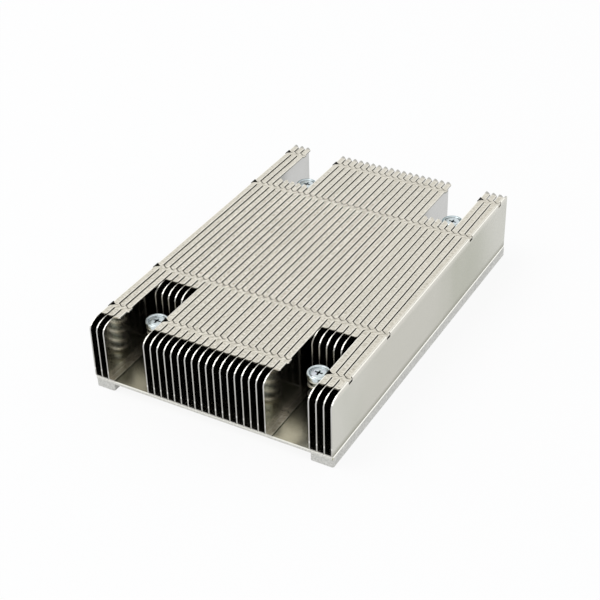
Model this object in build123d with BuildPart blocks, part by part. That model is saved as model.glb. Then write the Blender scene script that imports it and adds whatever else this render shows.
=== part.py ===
from build123d import *
import math
import os

# Passive processor heatsink: a base plate on two side rails, a stack of folded and
# interlocked fins soldered to it, and four sprung captive screws in corner notches.
# Millimetres, +Z up. The origin lies under the middle of the part, on the plane the
# rails rest on. X runs across the fins, Y along them, and the front end is at -Y.

# Overall sizes
overall_length = 126.0
overall_width = 82.3
overall_height = 24.0

# Base plate, its side rails and the land that meets the processor
plate_thickness = 1.0
top_edge_bevel = 0.25
corner_bevel = 0.4
rail_depth = 3.0
left_rail_width = 6.5
left_rail_inset = 0.2
right_rail_width = 7.5
right_rail_inset = 0.0
rail_foot_bevel = 0.3
land_width = 46.0
land_length = 60.0
land_depth = 1.2
land_corner_bevel = 1.5

# Fin stack
fin_count = 35
sheet = 0.4
fold_radius = 0.55
fold_flats = 2
left_ledge = 0.0
right_ledge = 0.3
flange_gap = 0.12
last_flange_gap = 0.05
end_plate_bevel = 0.12

# Fin ends: the front one is cut back as a long quarter ellipse, the rear one barely
front_corner_length = 5.4
front_corner_drop = 2.7
front_corner_flats = 4
front_flange_setback = 5.8
rear_corner_length = 0.9
rear_corner_drop = 1.0
rear_corner_flats = 2
rear_flange_setback = 0.9
front_flange_bevel = 0.5
rear_flange_bevel = 1.3

# Interlocks along the top fold: a notch in each fold and a tongue from the fin before
lock_front_distance = 11.2
lock_rear_distance = 6.7
lock_mouth = 2.65
lock_depth = 1.93
lock_front_clearance = 0.06
lock_rear_clearance = 0.4
lock_nose_clearance = 0.2
lock_floor_clearance = 0.8
lock_stub = 0.5

# Captive screws
screw_spacing_x = 56.0
screw_spacing_y = 94.0
shank_diameter = 4.2
thread_diameter = 3.8
screw_hole_clearance = 0.6
head_diameter = 7.1
head_thickness = 1.5
head_top_height = 18.9
cross_length = 3.2
cross_width = 0.8
cross_depth = 0.9
tip_height = 0.6
driver_clearance = 1.3
notch_end_clearance = 4.45

# Retaining rings under the plate
ring_outer_diameter = 6.4
ring_thickness = 0.5
ring_mouth = 2.6
ring_sides = 16
groove_diameter = 3.1
ring_plate_clearance = 0.05
ring_groove_clearance = 0.05
ring_radial_clearance = 0.05
ring_room_clearance = 0.4

# Springs
spring_outer_diameter = 6.9
wire_diameter = 0.9
spring_turns = 4.9
closed_turns = 0.8
closed_rise = 0.75
sections_per_turn = 6
wire_sides = 5
spring_end_clearance = 0.02
spring_ground = 0.3

# Everything below follows from the sizes above
base_top = rail_depth + plate_thickness
half_length = overall_length / 2
half_width = overall_width / 2
fin_pitch = (overall_width - left_ledge - right_ledge - sheet) / (fin_count - 1)
first_fin_x = -half_width + left_ledge + sheet / 2
flange_reach = fin_pitch - sheet / 2 - flange_gap
lock_slope = lock_mouth / 2 / lock_depth
tongue_tip = fin_pitch - sheet / 2 + lock_depth - lock_nose_clearance
screw_x = screw_spacing_x / 2
screw_y = screw_spacing_y / 2
head_radius = head_diameter / 2
head_underside = head_top_height - head_thickness
notch_depth = half_length - screw_y + head_radius + notch_end_clearance
notch_left = head_radius + driver_clearance + flange_reach
notch_right = head_radius + driver_clearance + sheet / 2
ring_top = rail_depth - ring_plate_clearance
ring_bottom = ring_top - ring_thickness
ring_inner_radius = groove_diameter / 2 + ring_radial_clearance
groove_top = ring_top + ring_groove_clearance
groove_bottom = ring_bottom - ring_groove_clearance
spring_radius = (spring_outer_diameter - wire_diameter) / 2

os.makedirs("parts", exist_ok=True)


def near_screw(x):
    """True where a full-length fin would stand in the way of a screw or its driver."""
    for centre in (-screw_x, screw_x):
        if -notch_left < x - centre < notch_right:
            return True
    return False


def quarter_round(flats, length, drop):
    """Points of a quarter ellipse drawn as short flats, from (0, drop) round to (length, 0)."""
    points = []
    for step in range(flats + 1):
        angle = math.pi / 2 * step / flats
        points.append((length * (1 - math.cos(angle)), drop * (1 - math.sin(angle))))
    return points


# Base plate with rails, land and screw holes
with BuildPart() as base_plate:
    with BuildSketch(Plane.XY.offset(rail_depth)):
        Rectangle(overall_width, overall_length)
        chamfer(vertices(), corner_bevel)
    extrude(amount=plate_thickness)
    chamfer(base_plate.faces().sort_by(Axis.Z)[-1].edges(), top_edge_bevel)
    left_rail_x = -half_width + left_rail_inset + left_rail_width / 2
    right_rail_x = half_width - right_rail_inset - right_rail_width / 2
    for rail_x, rail_width in ((left_rail_x, left_rail_width), (right_rail_x, right_rail_width)):
        with BuildSketch(Plane.XY):
            with Locations((rail_x, 0)):
                Rectangle(rail_width, overall_length)
            chamfer(vertices(), corner_bevel)
        extrude(amount=rail_depth)
    chamfer(base_plate.faces().group_by(Axis.Z)[0].edges(), rail_foot_bevel)
    with BuildSketch(Plane.XY.offset(rail_depth - land_depth)):
        Rectangle(land_width, land_length)
        chamfer(vertices(), land_corner_bevel)
    extrude(amount=land_depth)
    # Screw holes, and room for the rings wherever they come close to a rail or the land
    with BuildSketch(Plane.XY):
        with GridLocations(screw_spacing_x, screw_spacing_y, 2, 2):
            Circle((shank_diameter + screw_hole_clearance) / 2)
    extrude(amount=base_top, mode=Mode.SUBTRACT)
    with BuildSketch(Plane.XY):
        with GridLocations(screw_spacing_x, screw_spacing_y, 2, 2):
            Circle(ring_outer_diameter / 2 + ring_room_clearance)
    extrude(amount=rail_depth, mode=Mode.SUBTRACT)
base_plate.part.label = "base_plate"
export_step(base_plate.part, "parts/base_plate.step")

# Fins: one folded sheet each, web upright, both flanges turned toward +X.
# The last one is a plain end plate that closes the +X side.
lock_floor = overall_height - sheet - lock_floor_clearance
for number in range(1, fin_count + 1):
    fin_x = first_fin_x + (number - 1) * fin_pitch
    is_last = number == fin_count
    end_y = half_length - notch_depth if near_screw(fin_x) else half_length
    next_end_y = half_length - notch_depth if near_screw(fin_x + fin_pitch) else half_length
    web_left = fin_x - sheet / 2
    web_right = fin_x + sheet / 2
    meets_end_plate = number == fin_count - 1
    gap = last_flange_gap if meets_end_plate else flange_gap
    free_edge = web_left + fin_pitch - gap
    rows = []
    for from_end in (0, notch_depth):
        rows.append(-half_length + from_end + lock_front_distance)
        rows.append(half_length - from_end - lock_rear_distance)
    own_rows = [row_y for row_y in rows if abs(row_y) < end_y]
    with BuildPart() as fin:
        # Section drawn across the fin and run along its length
        if is_last:
            outline = [
                (web_left, base_top),
                (web_left, overall_height),
                (web_right - end_plate_bevel, overall_height),
                (web_right, overall_height - end_plate_bevel),
                (web_right, base_top),
            ]
        else:
            fold = quarter_round(fold_flats, fold_radius, fold_radius)
            outline = [
                *[(web_left + x, base_top + z) for x, z in reversed(fold)],
                *[(web_left + x, overall_height - z) for x, z in fold],
                (free_edge, overall_height),
                (free_edge, overall_height - sheet),
                (web_right, overall_height - sheet),
                (web_right, base_top + sheet),
                (free_edge, base_top + sheet),
                (free_edge, base_top),
            ]
        with BuildSketch(Plane.XZ.offset(-end_y)):
            with BuildLine():
                Polyline(*outline, close=True)
            make_face()
        extrude(amount=2 * end_y)
        # Pointed tongues that reach over the next fin's fold, cut to stubs where that fin is short
        if not is_last:
            root_half = lock_mouth / 2 + gap * lock_slope
            with BuildSketch(Plane.XY.offset(overall_height - sheet)):
                for row_y in own_rows:
                    if abs(row_y) > next_end_y:
                        tip_x = free_edge + lock_stub
                    elif meets_end_plate:
                        tip_x = web_right + fin_pitch
                    else:
                        tip_x = fin_x + tongue_tip
                    tip_half = root_half - (tip_x - free_edge) * lock_slope
                    with BuildLine():
                        Polyline(
                            (free_edge, row_y - root_half + lock_front_clearance),
                            (tip_x, row_y - tip_half + lock_front_clearance),
                            (tip_x, row_y + max(tip_half - lock_rear_clearance, 0)),
                            (free_edge, row_y + root_half - lock_rear_clearance),
                            close=True,
                        )
                    make_face()
            extrude(amount=sheet)
        # Pointed notches in the fold for the tongues of the fin before
        with BuildSketch(Plane.XY.offset(lock_floor)):
            for row_y in own_rows:
                with BuildLine():
                    Polyline(
                        (web_left, row_y - lock_mouth / 2),
                        (web_left + lock_depth, row_y),
                        (web_left, row_y + lock_mouth / 2),
                        close=True,
                    )
                make_face()
        extrude(amount=overall_height - lock_floor, mode=Mode.SUBTRACT)
        # Top flange cut back from both ends, its free corners bevelled
        if not is_last:
            front_end = (-end_y, -end_y + front_flange_setback, front_flange_bevel, front_flange_bevel)
            rear_end = (end_y, end_y - rear_flange_setback, rear_flange_bevel, -rear_flange_bevel)
            with BuildSketch(Plane.XY.offset(lock_floor)):
                for end, inner, bevel, slant in (front_end, rear_end):
                    with BuildLine():
                        Polyline(
                            (web_right, end),
                            (web_right, inner),
                            (free_edge - bevel, inner),
                            (free_edge, inner + slant),
                            (free_edge, end),
                            close=True,
                        )
                    make_face()
            extrude(amount=overall_height - lock_floor, mode=Mode.SUBTRACT)
        # Upper corners of the web rounded off
        front = quarter_round(front_corner_flats, front_corner_length, front_corner_drop)
        rear = quarter_round(rear_corner_flats, rear_corner_length, rear_corner_drop)
        front_curve = [(-end_y + y, overall_height - z) for y, z in front]
        rear_curve = [(end_y - y, overall_height - z) for y, z in rear]
        with BuildSketch(Plane.YZ.offset(web_left)):
            with BuildLine():
                Polyline((-end_y, overall_height), *front_curve, close=True)
            make_face()
            with BuildLine():
                Polyline((end_y, overall_height), *rear_curve, close=True)
            make_face()
        extrude(amount=fold_radius + sheet, mode=Mode.SUBTRACT)
    fin.part.label = f"fin_{number:02d}"
    export_step(fin.part, f"parts/fin_{number:02d}.step")

# Screws, rings and springs, one set in each notch
corners = (("front_left", -screw_x, -screw_y), ("front_right", screw_x, -screw_y),
           ("rear_left", -screw_x, screw_y), ("rear_right", screw_x, screw_y))
for place, x, y in corners:
    # Screw: flat head with a cross, shank, groove for the ring and a plain stand-in for the thread
    with BuildPart() as screw:
        with BuildSketch(Plane.XY.offset(head_underside)):
            with Locations((x, y)):
                Circle(head_radius)
        extrude(amount=head_thickness)
        with BuildSketch(Plane.XY.offset(head_top_height - cross_depth)):
            with Locations((x, y)):
                Rectangle(cross_length, cross_width)
                Rectangle(cross_width, cross_length)
        extrude(amount=cross_depth, mode=Mode.SUBTRACT)
        with BuildSketch(Plane.XY.offset(groove_top)):
            with Locations((x, y)):
                Circle(shank_diameter / 2)
        extrude(amount=head_underside - groove_top)
        with BuildSketch(Plane.XY.offset(groove_bottom)):
            with Locations((x, y)):
                Circle(groove_diameter / 2)
        extrude(amount=groove_top - groove_bottom)
        with BuildSketch(Plane.XY.offset(tip_height)):
            with Locations((x, y)):
                Circle(thread_diameter / 2)
        extrude(amount=groove_bottom - tip_height)
    screw.part.label = f"screw_{place}"
    export_step(screw.part, f"parts/screw_{place}.step")

    # Retaining ring: an open ring of short flats that snaps into the groove from the side
    with BuildPart() as ring:
        with BuildSketch(Plane.XY.offset(ring_bottom)):
            with Locations((x, y)):
                RegularPolygon(ring_outer_diameter / 2, ring_sides)
                RegularPolygon(ring_inner_radius, ring_sides, major_radius=False, mode=Mode.SUBTRACT)
            with Locations((x + ring_outer_diameter / 2, y)):
                Rectangle(ring_outer_diameter, ring_mouth, mode=Mode.SUBTRACT)
        extrude(amount=ring_thickness)
    ring.part.label = f"ring_{place}"
    export_step(ring.part, f"parts/ring_{place}.step")

    # Spring: round wire drawn as short straight lengths, end turns closed and ground flat
    spring_bottom = base_top + spring_end_clearance
    spring_top = head_underside - spring_end_clearance
    rise_start = spring_bottom + wire_diameter / 2 - spring_ground
    rise_end = spring_top - wire_diameter / 2 + spring_ground
    steps = round(spring_turns * sections_per_turn)
    with BuildPart() as spring:
        for step in range(steps + 1):
            turn = spring_turns * step / steps
            from_end = min(turn, spring_turns - turn)
            open_turns = spring_turns - 2 * closed_turns
            if from_end < closed_turns:
                climb = closed_rise * (from_end / closed_turns)
                height = rise_start + climb if turn < spring_turns / 2 else rise_end - climb
            else:
                share = (turn - closed_turns) / open_turns
                height = rise_start + closed_rise + share * (rise_end - rise_start - 2 * closed_rise)
            angle = math.tau * turn
            out = Vector(math.cos(angle), math.sin(angle), 0)
            along = Vector(-math.sin(angle), math.cos(angle), 0)
            with BuildSketch(Plane(Vector(x, y, height) + out * spring_radius, x_dir=out, z_dir=along)):
                RegularPolygon(wire_diameter / 2, wire_sides)
        loft(ruled=True)
        with Locations((x, y, spring_bottom)):
            Box(
                2 * spring_outer_diameter, 2 * spring_outer_diameter, spring_top - spring_bottom,
                align=(Align.CENTER, Align.CENTER, Align.MIN), mode=Mode.INTERSECT,
            )
    spring.part.label = f"spring_{place}"
    export_step(spring.part, f"parts/spring_{place}.step")
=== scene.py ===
import math

import bpy
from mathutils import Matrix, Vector


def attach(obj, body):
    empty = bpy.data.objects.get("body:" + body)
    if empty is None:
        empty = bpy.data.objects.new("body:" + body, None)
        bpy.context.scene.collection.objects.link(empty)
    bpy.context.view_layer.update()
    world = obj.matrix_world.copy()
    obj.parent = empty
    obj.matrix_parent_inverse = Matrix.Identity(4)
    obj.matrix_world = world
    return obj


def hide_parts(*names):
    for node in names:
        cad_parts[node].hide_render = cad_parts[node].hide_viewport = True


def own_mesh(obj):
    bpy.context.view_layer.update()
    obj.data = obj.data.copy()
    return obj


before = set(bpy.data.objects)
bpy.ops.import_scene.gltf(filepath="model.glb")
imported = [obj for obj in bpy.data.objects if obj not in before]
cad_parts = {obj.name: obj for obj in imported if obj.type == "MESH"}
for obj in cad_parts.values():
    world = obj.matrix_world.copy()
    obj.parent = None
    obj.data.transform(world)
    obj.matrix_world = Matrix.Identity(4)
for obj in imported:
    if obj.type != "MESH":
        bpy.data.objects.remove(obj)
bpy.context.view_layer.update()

# Camera, light and floor.
# The part lies on a plain pale floor under a white sky with one broad soft lamp,
# seen from its front right corner through a long lens.
camera_place = (0.180126, -0.318999, 0.257771)
camera_turn = (55.551, 1.273, 29.230)
lamp_place = (-0.45, -0.25, 0.95)
floor_level = -0.00002
white = (1.0, 1.0, 1.0, 1.0)
sky_light = (0.97, 0.98, 1.0, 1.0)
floor_grey = (0.93, 0.93, 0.93, 1.0)


class Wire:
    """A shader value that can be added, multiplied and so on like a number."""

    def __init__(self, nodes, socket):
        self.nodes = nodes
        self.socket = socket

    def maths(self, operation, first, second=0.0):
        return self.nodes.node("ShaderNodeMath", {"operation": operation}, {0: first, 1: second})

    def __add__(self, other):
        return self.maths("ADD", self, other)

    def __radd__(self, other):
        return self.maths("ADD", other, self)

    def __sub__(self, other):
        return self.maths("SUBTRACT", self, other)

    def __rsub__(self, other):
        return self.maths("SUBTRACT", other, self)

    def __mul__(self, other):
        return self.maths("MULTIPLY", self, other)

    def __rmul__(self, other):
        return self.maths("MULTIPLY", other, self)

    def __truediv__(self, other):
        return self.maths("DIVIDE", self, other)

    def __abs__(self):
        return self.maths("ABSOLUTE", self)

    def __pow__(self, other):
        return self.maths("POWER", self, other)


class Nodes:
    """The nodes of a material or of the sky."""

    def __init__(self, owner):
        owner.use_nodes = True
        self.tree = owner.node_tree

    def node(self, kind, settings, sockets, out=0):
        """Adds a node: its settings first, then a value or a link for each socket."""
        made = self.tree.nodes.new(kind)
        for name, value in settings.items():
            setattr(made, name, value)
        for socket, value in sockets.items():
            if isinstance(value, Wire):
                self.tree.links.new(value.socket, made.inputs[socket])
            else:
                made.inputs[socket].default_value = value
        return Wire(self, made.outputs[out]) if made.outputs else None

    def on_rays(self, first, *others):
        """One on rays of the named kinds and zero on all others."""
        share = self.node("ShaderNodeLightPath", {}, {}, f"Is {first} Ray")
        for kind in others:
            other = self.node("ShaderNodeLightPath", {}, {}, f"Is {kind} Ray")
            share = share.maths("MAXIMUM", share, other)
        return share


camera_data = bpy.data.cameras.new("camera")
camera = bpy.data.objects.new("camera", camera_data)
bpy.context.scene.collection.objects.link(camera)
camera_data.sensor_width = 36.0
camera_data.lens = 81.986
camera_data.clip_start = 0.01
camera_data.clip_end = 20.0
camera.location = camera_place
camera.rotation_euler = [math.radians(angle) for angle in camera_turn]
bpy.context.scene.camera = camera
bpy.context.scene.view_settings.view_transform = "Standard"

sky = bpy.data.worlds.new("sky")
bpy.context.scene.world = sky
sky_nodes = Nodes(sky)
sky_nodes.tree.nodes.clear()
sky_share = sky_nodes.on_rays("Camera", "Glossy", "Transmission")
lit_sky = sky_nodes.node("ShaderNodeBackground", {}, {"Color": sky_light, "Strength": 0.8})
seen_sky = sky_nodes.node("ShaderNodeBackground", {}, {"Color": white, "Strength": 1.0})
sky_mix = sky_nodes.node("ShaderNodeMixShader", {}, {0: sky_share, 1: lit_sky, 2: seen_sky})
sky_nodes.node("ShaderNodeOutputWorld", {}, {"Surface": sky_mix})

lamp_data = bpy.data.lights.new("soft_lamp", "AREA")
lamp_data.shape = "SQUARE"
lamp_data.size = 0.7
lamp_data.energy = 3.0
lamp = bpy.data.objects.new("soft_lamp", lamp_data)
lamp.location = lamp_place
lamp.rotation_euler = Vector(lamp_place).to_track_quat("Z", "Y").to_euler()
bpy.context.scene.collection.objects.link(lamp)

bpy.ops.object.select_all(action="DESELECT")
bpy.ops.mesh.primitive_plane_add(size=6.0, location=(0.0, 0.0, floor_level))
floor = bpy.context.object
floor.name = "floor"
floor_paint = bpy.data.materials.new("pale_floor")
floor_nodes = Nodes(floor_paint)
floor_nodes.tree.nodes.clear()
floor_share = floor_nodes.on_rays("Camera", "Glossy") * 0.88
floor_matt = floor_nodes.node("ShaderNodeBsdfDiffuse", {}, {"Color": floor_grey})
floor_white = floor_nodes.node("ShaderNodeEmission", {}, {"Color": white, "Strength": 1.0})
floor_mix = floor_nodes.node(
    "ShaderNodeMixShader", {}, {0: floor_share, 1: floor_matt, 2: floor_white}
)
floor_nodes.node("ShaderNodeOutputMaterial", {}, {"Surface": floor_mix})
floor.data.materials.append(floor_paint)

# Base plate.
# One milled aluminium plate with a rail under each long side, thinly nickel plated. Its top
# is almost a mirror with a yellow cast, its front edge is bright, and the rails are sawn and grey.
# Its top bevels carry a painted highlight, and painted shade darkens its left part and the ledge at
# the wall's foot.
rails_top = 0.003
rails_inside = 0.038
wall_foot = 0.0408
notch_shade_edge = -0.021
dull_plate, clear_plate = (0.56, 0.55, 0.45), (0.72, 0.71, 0.60)
plate_notch_shade, foot_grey = (0.06, 0.06, 0.04), (0.22, 0.22, 0.18)
side_bevel_highlight, end_bevel_highlight = (1.0, 0.99, 0.93), (0.80, 0.79, 0.73)
dull_end, bright_end = (0.56, 0.56, 0.53), (0.76, 0.75, 0.71)
dull_rail, bright_rail, rail_shade = (0.43, 0.43, 0.41), (0.77, 0.77, 0.74), (0.18, 0.18, 0.17)


class Finish(Nodes):
    """A metal finish: one principled shader and the nodes that vary it."""

    def __init__(self, name, constants):
        self.material = bpy.data.materials.new(name)
        super().__init__(self.material)
        self.shader = self.tree.nodes["Principled BSDF"]
        for socket, value in constants.items():
            self.shader.inputs[socket].default_value = value

    def split(self, output):
        """The three parts of a place or a direction on the piece."""
        whole = self.node("ShaderNodeTexCoord", {}, {}, output)
        return [self.node("ShaderNodeSeparateXYZ", {}, {0: whole}, axis) for axis in "XYZ"]

    def noise(self, size, detail=2.0, stretch=(1.0, 1.0, 1.0)):
        """Cloudy values in grains of a size in metres, longer where the stretch is small."""
        place = self.node("ShaderNodeTexCoord", {}, {}, "Object")
        spread = self.node(
            "ShaderNodeMapping", {"vector_type": "POINT"}, {"Vector": place, "Scale": stretch}
        )
        return self.node(
            "ShaderNodeTexNoise", {}, {"Vector": spread, "Scale": 1.0 / size, "Detail": detail}
        )

    def blend(self, share, first, second):
        """The first colour where the share is zero and the second where it is one."""
        colours = [value if isinstance(value, Wire) else (*value, 1.0) for value in (first, second)]
        return self.node(
            "ShaderNodeMix", {"data_type": "RGBA"}, {0: share, 6: colours[0], 7: colours[1]}, 2
        )

    def step(self, value, low, high):
        """Zero below the low value, one above the high one, and smooth between."""
        return self.node(
            "ShaderNodeMapRange", {"interpolation_type": "SMOOTHSTEP"},
            {"Value": value, "From Min": low, "From Max": high, "To Min": 0.0, "To Max": 1.0},
        )

    def band(self, value, middle, inner, outer):
        """One within the inner distance of the middle and zero past the outer distance."""
        return 1 - self.step(abs(value - middle), inner, outer)

    def bump(self, height, depth):
        self.feed("Normal", self.node("ShaderNodeBump", {}, {"Height": height, "Distance": depth}))

    def feed(self, socket, value):
        self.tree.links.new(value.socket, self.shader.inputs[socket])


def paint(nodes, finish):
    """Gives carried-over CAD nodes a finish through their material slots."""
    for name in nodes:
        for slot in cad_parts[name].material_slots:
            slot.material = finish.material


plate_metal = Finish("milled_nickel_plate", {"Metallic": 1.0})
cutter_lines = plate_metal.noise(0.00022, 3.0, (1.0, 0.02, 1.0))
plate_skin = plate_metal.noise(0.0016, 4.0)
plate_specks = plate_metal.noise(0.0005, 3.0)
speckle = plate_metal.step(plate_specks, 0.34, 0.66)
plate_x, _, plate_z = plate_metal.split("Object")
face_x, face_y, face_z = plate_metal.split("Normal")
long_sides = plate_metal.step(abs(face_x), 0.8, 0.95)
above_rails = plate_metal.step(plate_z, rails_top - 0.0002, rails_top + 0.0001)
sawn = 1 - (1 - long_sides) * above_rails
end_zone = plate_metal.step(abs(face_y), 0.8, 0.95) * (1 - sawn)
bevel_zone = (1 - plate_metal.step(face_z, 0.85, 0.95)) * plate_metal.step(face_z, 0.4, 0.5)
inner_side = plate_metal.step(rails_inside - abs(plate_x), 0.0, 0.0001) * long_sides
# Painted shade on the narrow ledge at the foot of the right-hand wall.
past_foot = plate_metal.step(plate_x, wall_foot + 0.0001, wall_foot + 0.00014)
foot_shade = plate_metal.step(plate_x, wall_foot - 0.0001, wall_foot - 0.00002) * (1 - past_foot)
# Painted shade: the plate's top is darker over its left part, where the left notch lies.
left_notch_shade = plate_metal.step(notch_shade_edge - plate_x, 0.0, 0.001)
plate_share = cutter_lines * 0.4 + plate_skin * 0.5
plate_tone = plate_metal.blend(plate_share, dull_plate, clear_plate)
plate_tone = plate_metal.blend(left_notch_shade * 0.35, plate_tone, plate_notch_shade)
plate_tone = plate_metal.blend(foot_shade * 0.8, plate_tone, foot_grey)
# Painted highlight: the top bevels are paler than the plate, palest along the long sides.
bevel_highlight_tone = plate_metal.blend(plate_metal.step(abs(face_y), 0.3, 0.5), side_bevel_highlight, end_bevel_highlight)
plate_tone = plate_metal.blend(bevel_zone, plate_tone, bevel_highlight_tone)
end_tone = plate_metal.blend(speckle, dull_end, bright_end)
plate_tone = plate_metal.blend(end_zone, plate_tone, end_tone)
rail_tone = plate_metal.blend(plate_skin * 0.5 + speckle * 0.5, dull_rail, bright_rail)
rail_tone = plate_metal.blend(inner_side * 0.6, rail_tone, rail_shade)
plate_metal.feed("Base Color", plate_metal.blend(sawn, plate_tone, rail_tone))
plate_metal.feed("Roughness", 0.17 + cutter_lines * 0.06 + (sawn + end_zone) * 0.26)
plate_metal.bump(cutter_lines * 0.3 + plate_skin * (0.2 + sawn * 1.2), 0.000008)
paint(["base_plate"], plate_metal)

# Fins.
# Thirty-four folded aluminium sheets and a right-hand wall with narrow lips, nickel plated and
# soldered to the plate. The folds carry painted highlights, the webs painted shade, and the sheared
# ends are white.
fin_pitch = 0.0024
lock_rows_y = (-0.0518, -0.0278, 0.0323, 0.0563)
first_fins = (
    ("fin_01", "left_first_fin", -0.04115),
    ("fin_09", "middle_first_fin", -0.02195),
    ("fin_32", "right_first_fin", 0.03325),
)
notch_webs_x = (-0.03595, 0.01925)
notch_start = 0.0390
arc_radius = 0.00085
arc_across = 0.73
crest_length, crest_depth, crest_inset = 0.0027, 0.00038, 0.00001
crest_bottom, crest_slope, crest_top = 0.0226, 0.02384, 0.02393
crest_middle = (crest_bottom + crest_top) / 2
dull_top, bright_top, fold_highlight = (0.45, 0.42, 0.35), (0.90, 0.865, 0.765), (1.0, 0.98, 0.90)
arc_shade, rear_tip_shade = (0.20, 0.19, 0.16), (0.34, 0.34, 0.33)
dull_wall, bright_wall = (0.40, 0.41, 0.33), (0.58, 0.565, 0.51)
wall_ends, wall_top_light, lower_wall_olive = (0.66, 0.655, 0.61), (0.74, 0.72, 0.65), (0.29, 0.285, 0.23)
deep_web_shade, pale_web_shade = (0.20, 0.195, 0.17), (0.33, 0.32, 0.28)
dull_front, bright_front = (0.62, 0.58, 0.50), (0.86, 0.81, 0.72)
dull_rear, bright_rear = (0.49, 0.49, 0.475), (0.60, 0.60, 0.59)
deep_rear_shade, rear_top_light = (0.16, 0.16, 0.14), (0.74, 0.73, 0.68)
edge_middle, edge_foot_shade, edge_top_shade = (0.62, 0.615, 0.59), (0.50, 0.49, 0.46), (0.34, 0.335, 0.32)
glint_white, notch_end_shade = (0.93, 0.92, 0.88), (0.13, 0.13, 0.135)
mouth_black = (0.02, 0.02, 0.015)

fin_sheet = Finish("warm_nickel_sheet", {"Metallic": 1.0})
rolled_lines = fin_sheet.noise(0.00016, 3.0, (1.0, 0.02, 1.0))
sheet_clouds = fin_sheet.noise(0.008, 3.0, (1.0, 0.5, 1.0))
sheet_grain = fin_sheet.noise(0.0005, 3.0, (0.4, 1.5, 1.0))
wall_patches = fin_sheet.noise(0.03, 2.0, (1.0, 1.0, 0.4))
fin_x, fin_y, fin_z = fin_sheet.split("Object")
side_x, side_y, side_z = fin_sheet.split("Normal")
from_end = abs(fin_y)
pitches = (fin_x - first_fins[0][2]) / fin_pitch
fin_number = pitches.maths("FLOOR", pitches)
across = pitches - fin_number
fin_chance = fin_sheet.node(
    "ShaderNodeTexWhiteNoise", {"noise_dimensions": "1D"}, {"W": fin_number}
)

# The tops of the folds, with painted highlights along the folds and the free edges, and dark arcs
# of painted shade where a tongue lies in its notch.
lock_rows = sum(fin_sheet.band(fin_y, row_y, 0.0010, 0.0014) for row_y in lock_rows_y)
fold_light = (1 - fin_sheet.step(across, 0.12, 0.26)) * (1 - lock_rows)
edge_light = fin_sheet.step(across, 0.74, 0.86) * 0.4 * (1 - lock_rows)
grain_share = fin_sheet.step(sheet_grain, 0.32, 0.68) * 0.6
sheet_share = rolled_lines * 0.15 + sheet_clouds * 0.15 + grain_share + fin_chance * 0.1
top_tone = fin_sheet.blend(sheet_share, dull_top, bright_top)
top_tone = fin_sheet.blend(fold_light + edge_light, top_tone, fold_highlight)
lock_arcs = 0.0
for row_y in lock_rows_y:
    below = fin_y - (row_y + arc_radius)
    beside = (across - arc_across) * fin_pitch
    from_middle = (below * below + beside * beside) ** 0.5
    front_half = 1 - fin_sheet.step(below, -0.0003, -0.0001)
    lock_arcs = lock_arcs + fin_sheet.band(from_middle, arc_radius, 0.00008, 0.00024) * front_half
top_tone = fin_sheet.blend(lock_arcs * 0.8, top_tone, arc_shade)
# Painted shade: the flange tops turn darker at their rear tips.
top_tone = fin_sheet.blend(fin_sheet.step(fin_y, 0.0604, 0.0613) * 0.7, top_tone, rear_tip_shade)

# The right-hand wall, and the webs, two of which show their sides in the notches.
outer_wall = fin_sheet.step(fin_x, wall_foot - 0.00002, wall_foot + 0.00003)
patch_share = fin_sheet.step(wall_patches, 0.34, 0.66) * 0.65
wall_share = patch_share + sheet_clouds * 0.25 + sheet_grain * 0.1
wall_tone = fin_sheet.blend(wall_share, dull_wall, bright_wall)
wall_tone = fin_sheet.blend(fin_sheet.step(from_end, 0.03, 0.06) * 0.5, wall_tone, wall_ends)
# Painted light: the wall turns paler towards its top.
wall_tone = fin_sheet.blend(fin_sheet.step(fin_z, 0.0215, 0.0236) * 0.6, wall_tone, wall_top_light)
# Painted shade: the wall darkens towards its foot, in the crease where it meets the plate.
lower_wall_shade = 1 - fin_sheet.step(fin_z + sheet_clouds * 0.0012, 0.0046, 0.0068)
wall_tone = fin_sheet.blend(lower_wall_shade * 0.85, wall_tone, lower_wall_olive)
notch_walls = sum(fin_sheet.band(fin_x, web_x, 0.00003, 0.00008) for web_x in notch_webs_x)
facing_right = fin_sheet.step(side_x, 0.75, 0.9)
in_notches = fin_sheet.step(from_end, notch_start - 0.0001, notch_start + 0.0001)
notch_walls = notch_walls * facing_right * in_notches
# Painted light and shade on the notch walls: paler in the front notch, greyer in the rear one,
# darker deep in it and paler towards its top.
notch_front = fin_sheet.blend(sheet_clouds, dull_front, bright_front)
notch_rear = fin_sheet.blend(sheet_clouds, dull_rear, bright_rear)
deep_in = 1 - fin_sheet.step(fin_y, 0.040, 0.049)
notch_rear = fin_sheet.blend(deep_in * 0.5, notch_rear, deep_rear_shade)
notch_rear = fin_sheet.blend(fin_sheet.step(fin_z, 0.0212, 0.0234) * 0.7, notch_rear, rear_top_light)
notch_tone = fin_sheet.blend(fin_sheet.step(fin_y, -0.001, 0.001), notch_front, notch_rear)
# Painted shade: the webs are dark, for the shade in the channels between them.
painted_web_tone = fin_sheet.blend(sheet_clouds, deep_web_shade, pale_web_shade)
painted_web_tone = fin_sheet.blend(notch_walls, painted_web_tone, notch_tone)
upright = fin_sheet.step(abs(side_x), 0.75, 0.9)
upright_tone = fin_sheet.blend(outer_wall, painted_web_tone, wall_tone)
sheet_tone = fin_sheet.blend(upright, top_tone, upright_tone)

# The sheared ends of the sheets, with painted light and shade along their height, and the open
# mouths of each block's first fin, painted dark as shade.
at_ends = fin_sheet.step(from_end, 0.057, 0.0575)
past_start = fin_sheet.step(from_end, notch_start + 0.0002, notch_start + 0.0006)
at_notches = fin_sheet.step(from_end, 0.0335, 0.034) * (1 - past_start)
sheared = fin_sheet.step(abs(side_y), 0.35, 0.8) * fin_sheet.step(at_ends + at_notches, 0.2, 0.8)
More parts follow.
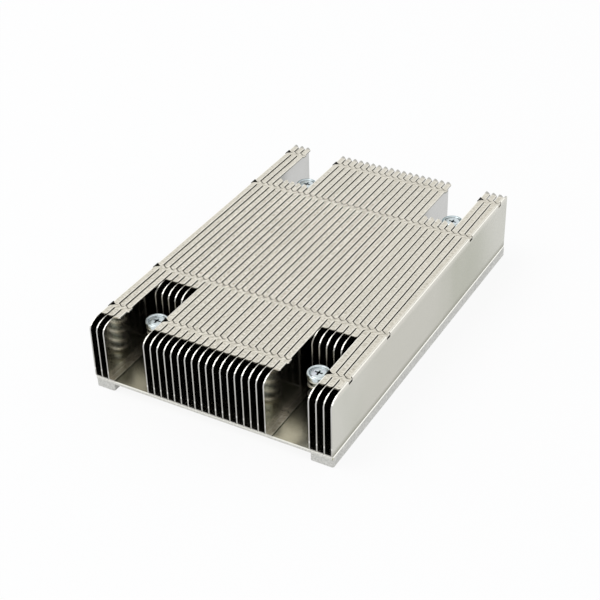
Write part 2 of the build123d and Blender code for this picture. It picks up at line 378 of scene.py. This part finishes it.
# Painted light and shade on the sheared ends: darker towards their foot and their top, a pale
# painted glint line low down, and painted shade on the low ends at the notches.
edge_low = 1 - fin_sheet.step(fin_z, 0.0105, 0.0215)
edge_high = fin_sheet.step(fin_z, 0.0222, 0.0234)
edge_tone = fin_sheet.blend(edge_low, edge_middle, edge_foot_shade)
edge_tone = fin_sheet.blend(edge_high, edge_tone, edge_top_shade)
edge_glint = fin_sheet.band(fin_z, 0.0068, 0.0002, 0.0005)
edge_tone = fin_sheet.blend(edge_glint * 0.7, edge_tone, glint_white)
notch_ends = at_notches * fin_sheet.step(edge_low, 0.05, 0.5)
edge_tone = fin_sheet.blend(notch_ends, edge_tone, notch_end_shade)
mouth_rows = sum(fin_sheet.band(fin_y, row_y, 0.00145, 0.00155) for row_y in lock_rows_y)
mouth_webs = sum(fin_sheet.band(fin_x, x + 0.001, 0.00102, 0.00106) for _, _, x in first_fins)
mouth_cuts = fin_sheet.step(abs(side_y), 0.35, 0.7)
below_top = 1 - fin_sheet.step(fin_z, 0.02394, 0.02398)
mouth_floors = fin_sheet.step(side_z, 0.94, 0.98) * below_top
mouth_walls = fin_sheet.step(side_x, 0.7, 0.9) * fin_sheet.step(fin_z, 0.0226, 0.0227)
# Painted shade: the cut faces, floors and inner walls of the open mouths are near black.
mouth_shade = mouth_webs * mouth_rows * (mouth_cuts + mouth_floors + mouth_walls)
sheet_tone = fin_sheet.blend(mouth_shade, sheet_tone, mouth_black)
sheet_rough = 0.16 + rolled_lines * 0.1 + sheet_clouds * 0.05 + sheared * 0.18 - notch_walls * 0.08
fin_sheet.feed("Base Color", fin_sheet.blend(sheared, sheet_tone, edge_tone))
fin_sheet.feed("Roughness", sheet_rough)
fin_sheet.bump(rolled_lines * 0.3 + sheet_clouds * 3.0 + sheet_grain * 0.4, 0.000006)
paint([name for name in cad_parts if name.startswith("fin_")], fin_sheet)


def pick(piece):
    """Selects one piece alone and makes it the active one."""
    bpy.ops.object.select_all(action="DESELECT")
    piece.select_set(True)
    bpy.context.view_layer.objects.active = piece


def add(primitive, **settings):
    """Adds a primitive alone in the selection, with its place, turn and size in its mesh."""
    bpy.ops.object.select_all(action="DESELECT")
    primitive(**settings)
    bpy.ops.object.transform_apply(location=True, rotation=True, scale=True)
    return bpy.context.object


def weld(parts, name):
    """Joins the parts of one piece, merges what meets and turns its faces outward."""
    pick(parts[0])
    for part in parts[1:]:
        part.select_set(True)
    if len(parts) > 1:
        bpy.ops.object.join()
    bpy.ops.object.mode_set(mode="EDIT")
    bpy.ops.mesh.select_all(action="SELECT")
    bpy.ops.mesh.remove_doubles(threshold=0.000002)
    bpy.ops.mesh.normals_make_consistent(inside=False)
    bpy.ops.object.mode_set(mode="OBJECT")
    parts[0].name = name
    return parts[0]


def combine(piece, other, operation):
    """Adds another solid to a piece, or takes it out of the piece, and uses that solid up."""
    combined = piece.modifiers.new("combined", "BOOLEAN")
    combined.operation = operation
    combined.solver = "EXACT"
    combined.object = other
    bpy.context.view_layer.objects.active = piece
    bpy.ops.object.modifier_apply(modifier=combined.name)
    bpy.data.objects.remove(other)


# No tongue comes into the first fin of each block, so its web keeps its height at the locks.
for cad_name, fin_name, left_x in first_fins:
    first_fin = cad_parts[cad_name].copy()
    first_fin.data = first_fin.data.copy()
    first_fin.parent = None
    bpy.context.scene.collection.objects.link(first_fin)
    weld([first_fin], fin_name)
    for row_y in lock_rows_y:
        web_crest = add(
            bpy.ops.mesh.primitive_cube_add, size=1.0,
            location=(left_x + crest_inset + crest_depth / 2, row_y, crest_middle),
            scale=(crest_depth, crest_length, crest_top - crest_bottom),
        )
        bpy.ops.object.mode_set(mode="EDIT")
        bpy.ops.mesh.select_all(action="SELECT")
        bpy.ops.mesh.bisect(
            plane_co=(left_x + crest_inset, row_y, crest_slope), plane_no=(-0.707, 0.0, 0.707),
            use_fill=True, clear_inner=False, clear_outer=True,
        )
        bpy.ops.object.mode_set(mode="OBJECT")
        combine(first_fin, web_crest, "UNION")
    pick(first_fin)
    bpy.ops.mesh.customdata_custom_splitnormals_clear()
    bpy.ops.object.shade_flat()
    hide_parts(cad_name)
    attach(first_fin, "sink")

# Screws.
# Four turned steel screws, bright zinc plated: a dished head with a raised rim and a small
# cross, a plain shank, a groove for the ring and a short M4 thread at the lower end.
screw_x, screw_y = 0.028, 0.047
screw_places = {
    "front_left": (-screw_x, -screw_y),
    "front_right": (screw_x, -screw_y),
    "rear_left": (-screw_x, screw_y),
    "rear_right": (screw_x, screw_y),
}
head_profile = [
    (0.00210, 0.01740), (0.00340, 0.01740), (0.00352, 0.01752), (0.00355, 0.01770),
    (0.00355, 0.01855), (0.00350, 0.01878), (0.00336, 0.01890), (0.00296, 0.01888),
    (0.00280, 0.01874), (0.00268, 0.01852), (0.00252, 0.01844), (0.00236, 0.01850),
    (0.00224, 0.01866), (0.00206, 0.01870), (0.00120, 0.01868),
]
shank_profile = [
    (0.00210, 0.01740), (0.00210, 0.00312), (0.00202, 0.00300), (0.00155, 0.00300),
    (0.00155, 0.00240), (0.00164, 0.00234), (0.00164, 0.00078), (0.00148, 0.00060),
]
cross_length, cross_width, cross_depth = 0.00300, 0.00072, 0.0013
cross_middle, cross_floor, cross_taper = 0.01845, 0.0178, 0.55
thread_core, thread_start, thread_rib = 0.00164, 0.00085, 0.00026
thread_turns, thread_rise, thread_steps = 1.8, 0.00126, 58
dish_radius = 0.00262
tool_mark_waves = 42000.0
dull_zinc, bright_zinc, zinc_violet = (0.52, 0.60, 0.62), (0.76, 0.82, 0.84), (0.70, 0.68, 0.80)
dish_shade_grey, reflected_teal, cross_black = (0.17, 0.20, 0.22), (0.13, 0.24, 0.27), (0.05, 0.06, 0.08)


def turn_up(profile, sides=64):
    """Pulls a ring of edges through the radii and heights of a turned profile, and caps its end."""
    radius, height = profile[0]
    turned = add(
        bpy.ops.mesh.primitive_circle_add,
        vertices=sides, radius=radius, location=(0.0, 0.0, height),
    )
    bpy.ops.object.mode_set(mode="EDIT")
    for wider, higher in profile[1:]:
        lift = {"value": (0.0, 0.0, higher - height)}
        bpy.ops.mesh.extrude_region_move(TRANSFORM_OT_translate=lift)
        grow = wider / radius
        bpy.ops.transform.resize(value=(grow, grow, 1.0), center_override=(0.0, 0.0, higher))
        radius, height = wider, higher
    bpy.ops.mesh.edge_face_add()
    bpy.ops.object.mode_set(mode="OBJECT")
    return turned


def wind(profile, turns, rise, steps):
    """Winds a profile round the Z axis while it climbs."""
    pick(profile)
    winding = profile.modifiers.new("winding", "SCREW")
    winding.angle = turns * math.tau
    winding.screw_offset = rise
    winding.steps = steps
    winding.render_steps = steps
    bpy.ops.object.modifier_apply(modifier=winding.name)


def close_ends(piece, sides):
    """Fills the open ends of a wound profile and turns its faces outward."""
    pick(piece)
    bpy.ops.object.mode_set(mode="EDIT")
    bpy.ops.mesh.select_all(action="SELECT")
    bpy.ops.mesh.fill_holes(sides=sides)
    bpy.ops.mesh.normals_make_consistent(inside=False)
    bpy.ops.object.mode_set(mode="OBJECT")


def coat(piece, finish):
    """Gives a new piece one finish all over."""
    piece.data.materials.clear()
    piece.data.materials.append(finish.material)


def set_down(model, name, x, y):
    """A copy of a finished model with its own mesh, standing at a screw's place."""
    piece = model.copy()
    piece.data = model.data.copy()
    piece.name = name
    bpy.context.scene.collection.objects.link(piece)
    piece.location = (x, y, 0.0)
    pick(piece)
    bpy.ops.object.transform_apply(location=True)
    return piece


screw_model = weld([turn_up(head_profile), turn_up(shank_profile)], "screw_model")
for long_x, long_y in ((cross_length, cross_width), (cross_width, cross_length)):
    cross_cutter = add(
        bpy.ops.mesh.primitive_cube_add, size=1.0,
        location=(0.0, 0.0, cross_middle), scale=(long_x, long_y, cross_depth),
    )
    bpy.ops.object.mode_set(mode="EDIT")
    bpy.ops.mesh.select_all(action="DESELECT")
    bpy.ops.object.mode_set(mode="OBJECT")
    for face in cross_cutter.data.polygons:
        face.select = face.normal.z < -0.9
    bpy.ops.object.mode_set(mode="EDIT")
    bpy.ops.transform.resize(
        value=(cross_taper, cross_taper, 1.0), center_override=(0.0, 0.0, cross_floor)
    )
    bpy.ops.object.mode_set(mode="OBJECT")
    combine(screw_model, cross_cutter, "DIFFERENCE")
thread_ridge = add(
    bpy.ops.mesh.primitive_circle_add, vertices=3, radius=thread_rib,
    location=(thread_core, 0.0, thread_start), rotation=(math.pi / 2, math.pi / 2, 0.0),
)
wind(thread_ridge, thread_turns, thread_rise, thread_steps)
close_ends(thread_ridge, 4)
combine(screw_model, weld([thread_ridge], "thread_ridge"), "UNION")
pick(screw_model)
bpy.ops.object.shade_smooth_by_angle(angle=math.radians(34))

zinc = Finish("bright_zinc", {"Metallic": 1.0})
zinc_x, zinc_y, zinc_z = zinc.split("Object")
off_x = abs(zinc_x) - screw_x
off_y = abs(zinc_y) - screw_y
from_axis = (off_x * off_x + off_y * off_y) ** 0.5
tool_marks = from_axis * tool_mark_waves
turned_rings = tool_marks.maths("SINE", tool_marks) * 0.5 + 0.5
zinc_mottle = zinc.noise(0.0006, 3.0)
zinc_cast = zinc.noise(0.0022, 2.0)
on_head = zinc.step(zinc_z, 0.0170, 0.0174)
zinc_tone = zinc.blend(zinc_mottle, dull_zinc, bright_zinc)
zinc_tone = zinc.blend(zinc.step(zinc_cast, 0.55, 0.75) * 0.5, zinc_tone, zinc_violet)
# Painted shade: a darker ring in the head's dish.
dish_shade_ring = zinc.band(from_axis, dish_radius, 0.0, 0.00022)
zinc_tone = zinc.blend(dish_shade_ring * on_head * 0.75, zinc_tone, dish_shade_grey)
# Painted reflection: the rims of the rear heads are a dark teal.
rear_rim_reflection = zinc.step(zinc_y, -0.01, 0.01) * zinc.step(from_axis, 0.0029, 0.0031) * on_head
zinc_tone = zinc.blend(rear_rim_reflection * 0.75, zinc_tone, reflected_teal)
in_cross = 1 - zinc.step(from_axis, 0.0016, 0.0018)
cross_shade = (1 - zinc.step(zinc_z, 0.01815, 0.0186)) * on_head * in_cross
zinc_tone = zinc.blend(cross_shade * 0.9, zinc_tone, cross_black)
zinc.feed("Base Color", zinc_tone)
zinc.feed("Roughness", 0.14 + zinc_mottle * 0.14 + turned_rings * on_head * 0.06)
zinc.bump(turned_rings * on_head * 0.6 + zinc_mottle * 0.6, 0.000008)
coat(screw_model, zinc)
for place, (x, y) in screw_places.items():
    screw = set_down(screw_model, f"cap_screw_{place}", x, y)
    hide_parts(f"screw_{place}")
    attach(screw, f"turn_{place}")
bpy.data.objects.remove(screw_model)

# Springs.
# Four compression springs of 0.9 mm wire under the screw heads; the end turns are closed
# up and ground flat where they bear on the plate and under the head.
coil_radius = 0.0030
wire_radius = 0.00045
wire_sides = 14
steps_a_turn = 40
spring_bottom, spring_top = 0.00402, 0.01738
grinder_size, grinder_depth = 0.01, 0.001
coil_runs = [
    (0.0, 0.8, 0.00417, 0.00075),
    (0.8, 3.3, 0.00492, 0.01156),
    (4.1, 0.8, 0.01648, 0.00075),
]
dull_wire, bright_wire, ground_wire = (0.50, 0.50, 0.46), (0.82, 0.81, 0.75), (0.80, 0.80, 0.78)

coils = []
for first_turn, turns, bottom, rise in coil_runs:
    start = first_turn * math.tau
    coil = add(
        bpy.ops.mesh.primitive_circle_add,
        vertices=wire_sides, radius=wire_radius, rotation=(math.pi / 2, 0.0, start),
        location=(coil_radius * math.cos(start), coil_radius * math.sin(start), bottom),
    )
    wind(coil, turns, rise, round(turns * steps_a_turn))
    coils.append(coil)
spring_model = weld(coils, "spring_model")
close_ends(spring_model, wire_sides)
for grinder_middle in (spring_bottom - grinder_depth / 2, spring_top + grinder_depth / 2):
    grinder = add(
        bpy.ops.mesh.primitive_cube_add, size=1.0, location=(0.0, 0.0, grinder_middle),
        scale=(grinder_size, grinder_size, grinder_depth),
    )
    combine(spring_model, grinder, "DIFFERENCE")
pick(spring_model)
bpy.ops.object.shade_smooth_by_angle(angle=math.radians(40))

wire = Finish("drawn_spring_wire", {"Metallic": 1.0})
wire_z = wire.split("Object")[2]
wire_mottle = wire.noise(0.0005, 3.0)
wire_streaks = wire.noise(0.0002, 2.0, (1.0, 1.0, 3.0))
lower_end = 1 - wire.step(wire_z, spring_bottom, spring_bottom + 0.00006)
ground_ends = lower_end + wire.step(wire_z, spring_top - 0.00006, spring_top)
wire_tone = wire.blend(wire_mottle * 0.6 + wire_streaks * 0.4, dull_wire, bright_wire)
wire.feed("Base Color", wire.blend(ground_ends, wire_tone, ground_wire))
wire.feed("Roughness", 0.2 + wire_streaks * 0.15)
wire.bump(wire_streaks + wire_mottle * 0.5, 0.000006)
coat(spring_model, wire)
for place, (x, y) in screw_places.items():
    spring = set_down(spring_model, f"coil_spring_{place}", x, y)
    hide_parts(f"spring_{place}")
    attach(spring, "sink")
    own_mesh(spring)
bpy.data.objects.remove(spring_model)

# Retaining rings.
# Four stamped spring-steel rings with three inner prongs, pushed from the +X side into the
# screws' grooves under the plate, dark with oil.
ring_bottom, ring_top = 0.00245, 0.00295
ring_middle = (ring_bottom + ring_top) / 2
ring_radius, groove_radius = 0.00318, 0.00161
mouth_reach, mouth_width = 0.005, 0.0026
relief_radius, relief_off = 0.00075, 0.00155
cutter_height = 0.002
dull_ring, bright_ring = (0.10, 0.10, 0.11), (0.22, 0.21, 0.21)

ring_model = add(
    bpy.ops.mesh.primitive_cylinder_add, vertices=56, radius=ring_radius,
    depth=ring_top - ring_bottom, location=(0.0, 0.0, ring_middle),
)
groove_cutter = add(
    bpy.ops.mesh.primitive_cylinder_add, vertices=40, radius=groove_radius,
    depth=cutter_height, location=(0.0, 0.0, ring_middle),
)
combine(ring_model, groove_cutter, "DIFFERENCE")
mouth_cutter = add(
    bpy.ops.mesh.primitive_cube_add, size=1.0, location=(mouth_reach / 2, 0.0, ring_middle),
    scale=(mouth_reach, mouth_width, cutter_height),
)
combine(ring_model, mouth_cutter, "DIFFERENCE")
for lean in (math.radians(118), math.radians(-118)):
    relief_cutter = add(
        bpy.ops.mesh.primitive_cylinder_add, vertices=24, radius=relief_radius,
        depth=cutter_height,
        location=(relief_off * math.cos(lean), relief_off * math.sin(lean), ring_middle),
    )
    combine(ring_model, relief_cutter, "DIFFERENCE")
weld([ring_model], "ring_model")
edge_roll = ring_model.modifiers.new("roll", "BEVEL")
edge_roll.width = 0.00005
edge_roll.segments = 2
edge_roll.limit_method = "ANGLE"
edge_roll.angle_limit = math.radians(40)
bpy.ops.object.modifier_apply(modifier=edge_roll.name)
weld([ring_model], "ring_model")
bpy.ops.object.shade_smooth_by_angle(angle=math.radians(34))

ring_steel = Finish("oiled_ring_steel", {"Metallic": 0.9})
ring_mottle = ring_steel.noise(0.0007, 4.0)
ring_steel.feed("Base Color", ring_steel.blend(ring_mottle, dull_ring, bright_ring))
ring_steel.feed("Roughness", 0.3 + ring_mottle * 0.25)
ring_steel.bump(ring_mottle, 0.000008)
coat(ring_model, ring_steel)
for place, (x, y) in screw_places.items():
    ring = set_down(ring_model, f"snap_ring_{place}", x, y)
    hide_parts(f"ring_{place}")
    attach(ring, f"press_{place}")
bpy.data.objects.remove(ring_model)
